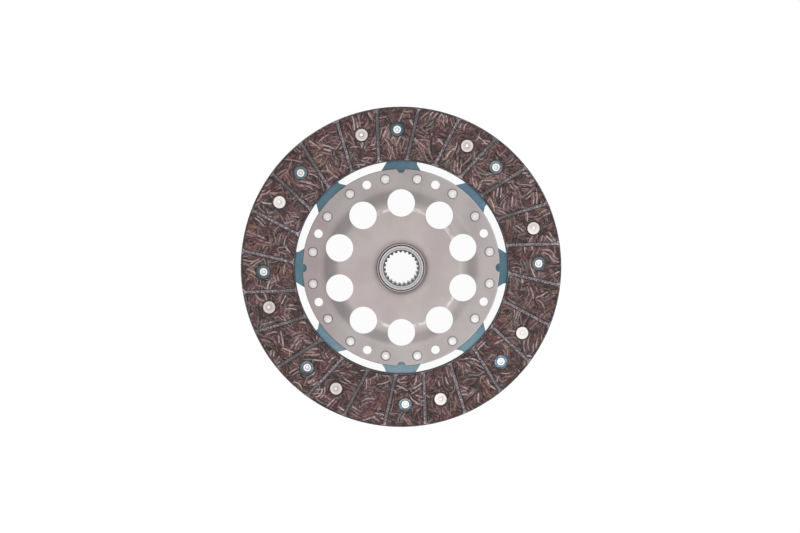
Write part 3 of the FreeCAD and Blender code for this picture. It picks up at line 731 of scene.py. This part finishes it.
def hole_distance(points, holes):
    """How far points lie inside the nearest rivet hole: below 0 outside."""
    away = np.hypot(*(points[:, None, :] - holes[None, :, :]).transpose(2, 0, 1))
    return SINK_RADIUS - away.min(axis=1)


def pushed_in(points, distance, keep):
    """Points moved down a distance field until they are at least keep inside."""
    for _ in range(PUSH_ROUNDS):
        depth = distance(points)
        slope = np.stack([
            distance(points + [PUSH_STEP, 0]) - depth,
            distance(points + [0, PUSH_STEP]) - depth,
        ], axis=1) / PUSH_STEP
        steepness = np.maximum(np.hypot(slope[:, 0], slope[:, 1]), PUSH_LEAST_SLOPE)[:, None]
        points = points - slope / steepness ** 2 * np.maximum(depth + keep, 0)[:, None]
    return points


def bundle_yarns(random, middle):
    """The yarns of one bundle in pad 0: a row of parallel yarns with duller ones between them."""
    heading = random.uniform(0, math.pi)
    bend = random.normal(0, BEND_SPREAD_PER_METRE)
    sway = random.normal(0, SWAY_SPREAD_RADIANS)
    pitch = random.uniform(*ROW_PITCH_MM) * MM
    tints = TINT_RANGES[random.choice(len(TINT_RANGES), p=TINT_SHARES)]
    side = np.array([-math.sin(heading), math.cos(heading)])
    ahead = np.array([math.cos(heading), math.sin(heading)])
    rows = random.choice(ROW_COUNTS, p=ROW_COUNT_SHARES)
    yarns = []
    for row in range(rows):
        length = random.uniform(*LENGTH_MM) * MM
        at = middle + side * (row - (rows - 1) / 2) * pitch + ahead * random.normal(0, SLIP_SPREAD)
        turn = heading + random.normal(0, HEADING_SPREAD_RADIANS)
        as_bundle = random.uniform() < BUNDLE_TINT_SHARE
        tint = random.uniform(*tints) if as_bundle else random.uniform(0, 1)
        half = random.uniform(*HALF_WIDTH_MM) * MM
        crown = random.uniform(*CROWN_MM) * MM
        yarns.append((*at, turn, bend, sway, length, half, crown, tint))
        under = (length * UNDER_LENGTH, pitch * UNDER_HALF_WIDTH, crown * UNDER_CROWN)
        at = at + side * pitch / 2
        yarns.append((*at, turn, bend, sway, *under, random.uniform(*UNDER_TINTS)))
    return yarns


def pad_bundles(random):
    """The yarns of pad 0, in bundles that cover it evenly."""
    yarns = []
    for row in range(BUNDLE_ROWS):
        for column in range(BUNDLE_COLUMNS):
            out = (row + random.uniform(0, 1)) / BUNDLE_ROWS
            round_by = (column + random.uniform(0, 1)) / BUNDLE_COLUMNS
            radius = PAD_INNER + (PAD_OUTER - PAD_INNER) * out
            groove = GROOVE_ANGLE + math.degrees(math.asin(GROOVE_OFFSET / radius))
            yarns += bundle_yarns(random, polar(radius, groove + PAD_PITCH * round_by))
    return yarns


def free_run(free):
    """The first and last of the free places around the middle one."""
    low = high = len(free) // 2
    while low > 0 and free[low - 1]:
        low -= 1
    while high < len(free) - 1 and free[high + 1]:
        high += 1
    return low, high


def middle_lines(x, y, heading, bend, sway, length):
    """The yarns' middle lines, as evenly spaced samples about x and y, and their spacing."""
    share = np.linspace(-0.5, 0.5, YARN_SAMPLES)[None, :]
    turn = heading + bend * share * length + sway * np.sin(2 * math.pi * share)
    step = length / (YARN_SAMPLES - 1)
    runs = np.stack([np.cos(turn) * step, np.sin(turn) * step], axis=2)
    lines = np.cumsum(runs, axis=1)
    lines += np.stack([x, y], axis=2) - lines[:, [YARN_SAMPLES // 2]]
    return lines, step[:, 0]


def free_stretches(lines, steps, holes):
    """What the pad's edges and the holes leave of each line around its middle: the indices of the
    lines that stay long enough, their paths of a few points and the travels along them in mm."""
    samples = np.arange(YARN_SAMPLES)
    points = lines.reshape(-1, 2)
    outside = np.maximum(pad_edge_distance(points), hole_distance(points, holes))
    free = (outside < YARN_OVERRUN).reshape(len(lines), YARN_SAMPLES)
    kept, paths, travels = [], [], []
    for i, (line, step) in enumerate(zip(lines, steps)):
        low, high = free_run(free[i])
        if not free[i, YARN_SAMPLES // 2] or (high - low) * step < YARN_SHORTEST:
            continue
        at = np.linspace(low, high, YARN_POINTS)
        kept.append(i)
        paths.append(np.stack([np.interp(at, samples, line[:, axis]) for axis in (0, 1)], axis=1))
        travels.append(at * step / MM)
    return kept, np.array(paths), np.array(travels)


def pad_yarns(yarns, holes):
    """The points of a pad's yarns, one row a yarn, and their place across, place along and tint."""
    *courses, half, crown, tint = np.array(yarns).T[:, :, None]
    kept, paths, travels = free_stretches(*middle_lines(*courses), holes)
    run = np.gradient(paths, axis=1)
    run /= np.linalg.norm(run, axis=2, keepdims=True)
    left = np.stack([-run[:, :, 1], run[:, :, 0]], axis=2)
    taper = np.ones(YARN_POINTS)
    taper[[0, -1]] = YARN_END_WIDTH
    width = half[kept] * taper
    across = np.linspace(-1, 1, YARN_RAILS)
    flat = paths[:, None] + left[:, None] * (across[:, None] * width[:, None, :])[..., None]
    flat = pushed_in(flat.reshape(-1, 2), pad_edge_distance, EDGE_MARGIN)
    flat = pushed_in(flat, lambda points: hole_distance(points, holes), EDGE_MARGIN)
    top = np.where(taper == 1, crown[kept], YARN_END_CROWN * crown[kept])
    rise = np.where(across[:, None] == 0, top[:, None, :], -YARN_SINK)
    points = np.column_stack([flat, rise.ravel() + PAD_TOP])
    marks = np.stack(np.broadcast_arrays(
        across[None, :, None], travels[:, None, :], tint[kept][:, None, :]
    ), axis=3)
    return points, marks.reshape(-1, 3)


def yarn_faces(count):
    """The faces of closed yarns whose points run along one rail and then the next."""
    faces = []
    for first in range(0, count * YARN_RAILS * YARN_POINTS, YARN_RAILS * YARN_POINTS):
        starts = [first + rail * YARN_POINTS for rail in range(YARN_RAILS)]
        for right, left in zip(starts, starts[1:] + starts[:1]):
            for i in range(YARN_POINTS - 1):
                faces.append([right + i, right + i + 1, left + i + 1, left + i])
        faces.append(starts)
        faces.append([start + YARN_POINTS - 1 for start in reversed(starts)])
    return faces


def make_yarn(name, seed, transform, finish):
    """The yarns that show in one lining's ground face, cut off at the pads' edges and the holes."""
    random = np.random.default_rng(seed)
    holes = np.array([
        polar(RIVET_CIRCLE, angle + SEGMENT_PITCH * i)
        for i in range(SEGMENT_COUNT) for angle in (HEAD_ANGLE, TAIL_ANGLE)
    ])
    all_points, all_marks = [], []
    for pad in range(PAD_COUNT):
        turn = 2 * math.pi / PAD_COUNT * pad
        spin = np.array([[math.cos(turn), math.sin(turn)], [-math.sin(turn), math.cos(turn)]])
        points, marks = pad_yarns(pad_bundles(random), holes @ spin.T)
        points[:, :2] = points[:, :2] @ spin
        all_points.append(points)
        all_marks.append(marks)
    points = np.concatenate(all_points)
    faces = yarn_faces(len(points) // (YARN_RAILS * YARN_POINTS))
    piece = mesh_piece(name, transform(points), faces, finish, YARN_SHARP_ANGLE)
    attribute = piece.data.attributes.new("strand", "FLOAT_VECTOR", "POINT")
    attribute.data.foreach_set("vector", np.concatenate(all_marks).astype(np.float32).ravel())


def rivet_outline(front, front_stops, rear, rear_stops):
    """A rivet's outline from stops in mm: a radius, and a height before front or behind rear."""
    outline = [(radius * MM, front + height * MM) for radius, height in front_stops]
    return outline + [(radius * MM, rear - height * MM) for radius, height in rear_stops]


def rivet_piece(name, points, faces, radii, finish, slot, replaced):
    """A node's rivets in full detail, with each point's distance from its rivet's axis."""
    piece = mesh_piece(name, points, faces, finish)
    attribute = piece.data.attributes.new("ring", "FLOAT", "POINT")
    attribute.data.foreach_set("value", (radii / RING_UNIT).astype(np.float32))
    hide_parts(replaced)


def make_plate_rivets(finish):
    """The rivets in the plate's rim: a domed head in front and a pressed end behind each foot."""
    outline = rivet_outline(RIM_FRONT, (
        (0, 1.10), (0.8, 1.10), (1.6, 1.085), (2.3, 1.05), (2.8, 0.99), (3.1, 0.90), (3.35, 0.72),
        (3.55, 0.45), (3.70, 0.15), (3.8, 0.0), (2.5, 0.0),
    ), FOOT_REAR, (
        (2.5, 0.0), (3.7, 0.0), (3.68, 0.3), (3.5, 0.8), (3.2, 1.15), (2.8, 1.28), (1.2, 1.3),
        (0.9, 1.2), (0, 1.15),
    ))
    places = [
        polar(PLATE_RIVET_CIRCLE, SEGMENT_PITCH * i + side * PLATE_RIVET_SPREAD)
        for i in range(SEGMENT_COUNT) for side in (-1, 1)
    ]
    points, faces, radii = lathe(outline, places)
    rivet_piece("rim_rivets", points, faces, radii, finish, "plate_rivet", "plate_rivets")


def make_lining_rivets(head_finish, tail_finish):
    """The linings' rivets: a ringed, dimpled head sunk in one lining, a rolled end in the other."""
    outline = rivet_outline(MID_PLANE + SINK_RISE, (
        (0, 0.80), (0.5, 0.80), (0.9, 0.81), (1.15, 0.85), (1.35, 0.94), (1.8, 1.00), (2.3, 0.985),
        (2.6, 0.955), (2.9, 0.975), (3.4, 0.995), (3.75, 0.965), (4.1, 0.985), (4.5, 0.97),
        (4.72, 0.88), (4.85, 0.68), (4.85, 0.0), (2.4, 0.0),
    ), MID_PLANE - GRIP_DEPTH, (
        (2.4, 0.0), (3.2, 0.0), (3.24, 0.45), (3.22, 0.80), (3.1, 0.98), (2.85, 1.08), (2.4, 1.10),
        (1.9, 1.09), (1.6, 1.02), (1.40, 0.85), (1.32, 0.5), (1.3, -0.4), (0, -0.4),
    ))
    places = [polar(RIVET_CIRCLE, HEAD_ANGLE + SEGMENT_PITCH * i) for i in range(SEGMENT_COUNT)]
    points, faces, radii = lathe(outline, places)
    names = ("lining_rivet", "front_lining_rivets")
    rivet_piece("sunk_rivets_front", points, faces, radii, head_finish, *names)
    names = ("lining_rivet_tail", "rear_lining_rivets")
    rivet_piece("sunk_rivets_rear", turned_over(points), faces, radii, tail_finish, *names)


def paint(node, finish):
    """Gives a CAD node its finish."""
    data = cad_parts[node].data
    data.materials.clear()
    data.materials.append(finish)


def make_stage():
    """A plain pale floor that is white to the camera and keeps the disc's soft shadow."""
    corners = [(x * FLOOR_REACH, y * FLOOR_REACH, 0) for x, y in ((-1, -1), (1, -1), (1, 1), (-1, 1))]
    mesh = bpy.data.meshes.new("floor")
    mesh.from_pydata(corners, [], [(0, 1, 2, 3)])
    made, tree = material("floor_white")
    ray = tree.add("ShaderNodeLightPath").node.outputs
    seen = tree.math("MAXIMUM", ray["Is Camera Ray"], ray["Is Glossy Ray"])
    seen = tree.math("MAXIMUM", seen, ray["Is Transmission Ray"])
    card = tree.add("ShaderNodeBsdfDiffuse", {"Color": grey(FLOOR_BOUNCE)})
    shown = tree.add("ShaderNodeBsdfDiffuse", {"Color": grey(FLOOR_SHOWN)})
    glow = tree.add("ShaderNodeEmission", {"Color": grey(1), "Strength": FLOOR_GLOW})
    white = tree.add("ShaderNodeAddShader", {0: shown, 1: glow})
    mixed = tree.add("ShaderNodeMixShader", {0: seen, 1: card, 2: white})
    tree.add("ShaderNodeOutputMaterial", {"Surface": mixed})
    mesh.materials.append(made)
    floor = bpy.data.objects.new("floor", mesh)
    bpy.context.scene.collection.objects.link(floor)


def make_dome():
    """A studio dome that is bright overhead, low down and below."""
    world = bpy.data.worlds.new("studio")
    bpy.context.scene.world = world
    world.use_nodes = True
    tree = Tree(world.node_tree)
    direction = tree.add("ShaderNodeTexCoord", output="Generated")
    _, _, height = tree.split(direction)
    shade = tree.ramp(height, [(up, (level, level, level)) for up, level in DOME_LEVELS])
    sky = tree.add("ShaderNodeBackground", {"Color": shade, "Strength": 1.0})
    tree.add("ShaderNodeOutputWorld", {"Surface": sky})


def make_lamps():
    """Soft round lamps that point at the disc: four on its right and one over its lower half."""
    for name, place, size, energy in LAMPS:
        lamp = bpy.data.lights.new(name, "AREA")
        lamp.shape = "DISK"
        lamp.size = size
        lamp.energy = energy
        holder = bpy.data.objects.new(name, lamp)
        bpy.context.scene.collection.objects.link(holder)
        holder.location = Vector(place)
        holder.rotation_mode = "QUATERNION"
        holder.rotation_quaternion = (-holder.location).to_track_quat("-Z", "Y")


def make_camera():
    """The camera that sees the disc as the photograph does."""
    data = bpy.data.cameras.new("camera")
    data.lens = CAMERA_LENS_MM
    data.sensor_width = CAMERA_SENSOR_MM
    camera = bpy.data.objects.new("camera", data)
    bpy.context.scene.collection.objects.link(camera)
    turn = Vector([math.radians(angle) for angle in DISC_TURN])
    disc_turn = Quaternion(turn.normalized(), turn.length)
    disc_place = Vector((*DISC_OFFSET, -CAMERA_DISTANCE))
    camera.rotation_mode = "QUATERNION"
    camera.rotation_quaternion = disc_turn.inverted()
    camera.location = disc_turn.inverted() @ -disc_place
    bpy.context.scene.camera = camera


paint("hub", hub_material())
paint("hub_plate", plate_material())
spring = spring_material()
for i in range(SEGMENT_COUNT):
    paint("cushion_segment_%d" % (i + 1), spring)
lining = lining_material()
paint("front_lining", lining)
paint("rear_lining", lining)
make_plate_rivets(steel_material())
make_lining_rivets(copper_material(), silver_material())
yarn = yarn_material()
make_yarn("front_lining_yarn", FRONT_SEED, lambda points: points, yarn)
make_yarn("rear_lining_yarn", REAR_SEED, turned_over, yarn)
make_stage()
make_dome()
make_lamps()
make_camera()
bpy.context.scene.view_settings.view_transform = "Standard"
